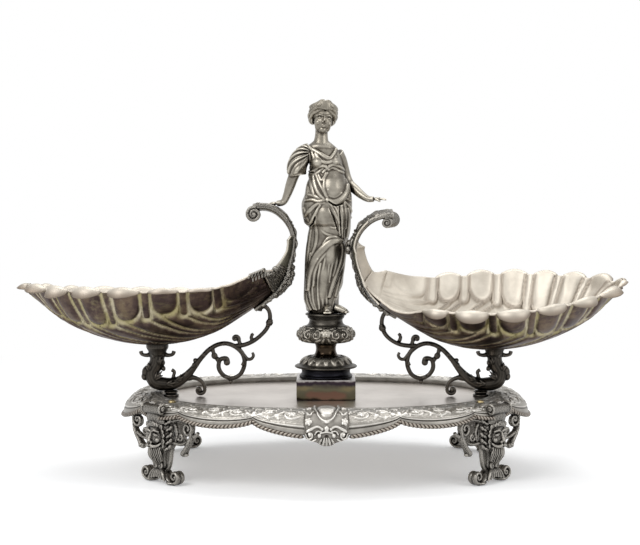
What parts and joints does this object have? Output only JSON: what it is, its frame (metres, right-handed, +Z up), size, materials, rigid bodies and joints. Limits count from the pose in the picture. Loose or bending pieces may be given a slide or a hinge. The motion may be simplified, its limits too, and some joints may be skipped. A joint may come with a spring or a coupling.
{
  "type": "table centrepiece",
  "caption": "Oval lobed tray on mask feet with a draped figure on a pedestal and two fluted shell dishes held up on scrolled brackets.",
  "frame": {"origin": "on the table, under the middle of the whole object's box", "axes": "+X along the tray's long way, from dish to dish, +Y to the back, +Z up; the figure faces -Y"},
  "size_m": [0.598, 0.3082, 0.3695],
  "materials": {
    "plate_satin": "satin silver plate, worn pale",
    "rim_silver": "chased antique silver with dark recesses",
    "foot_silver": "cast antique silver, dark in the hollows",
    "figure_silver": "cast antique silver, rubbed bright on the high spots",
    "dish_shell": "raised shell, pale satin inside and brown tarnish outside",
    "handle_grained": "cast, with granulated dark ornament",
    "bracket_dark": "cast, oxidised nearly black",
    "pedestal_dark": "chased bands, dark recesses",
    "pedestal_polished": "polished, tarnished warm brown",
    "fastener_brass": "turned brass, dull"
  },
  "bodies": {
    "root": {"plateau_plate": "plate_satin", "plateau_rim": "rim_silver", "rope_moulding_left": "rim_silver", "rope_moulding_right": "rim_silver", "front_cartouche": "rim_silver", "back_cartouche": "rim_silver", "foot_back_right": "foot_silver", "foot_back_left": "foot_silver", "foot_front_left": "foot_silver", "foot_front_right": "foot_silver", "foot_screw_back_right": "fastener_brass", "foot_screw_back_left": "fastener_brass", "foot_screw_front_left": "fastener_brass", "foot_screw_front_right": "fastener_brass", "foot_nut_back_right": "fastener_brass", "foot_nut_back_left": "fastener_brass", "foot_nut_front_left": "fastener_brass", "foot_nut_front_right": "fastener_brass", "square_plinth": "pedestal_polished", "pedestal_collar": "pedestal_dark", "pedestal_dome": "pedestal_dark", "pedestal_stem": "pedestal_polished", "pedestal_knop": "pedestal_dark", "pedestal_neck": "pedestal_dark", "figure_base_disc": "figure_silver", "tie_rod": "fastener_brass", "tie_rod_washer": "fastener_brass", "tie_rod_nut": "fastener_brass", "figure_body": "figure_silver", "figure_head": "figure_silver", "figure_arm_left": "figure_silver", "figure_arm_right": "figure_silver", "bracket_spool_right": "bracket_dark", "bracket_right": "bracket_dark", "bracket_stud_right": "fastener_brass", "bracket_washer_right": "fastener_brass", "bracket_nut_right": "fastener_brass", "dish_right": "dish_shell", "dish_handle_right": "handle_grained", "dish_stud_right": "fastener_brass", "dish_washer_right": "plate_satin", "dish_nut_right": "plate_satin", "bracket_spool_left": "bracket_dark", "bracket_left": "bracket_dark", "bracket_stud_left": "fastener_brass", "bracket_washer_left": "fastener_brass", "bracket_nut_left": "fastener_brass", "dish_left": "dish_shell", "dish_handle_left": "handle_grained", "dish_stud_left": "fastener_brass", "dish_washer_left": "plate_satin", "dish_nut_left": "plate_satin"}
  },
  "joints": []
}
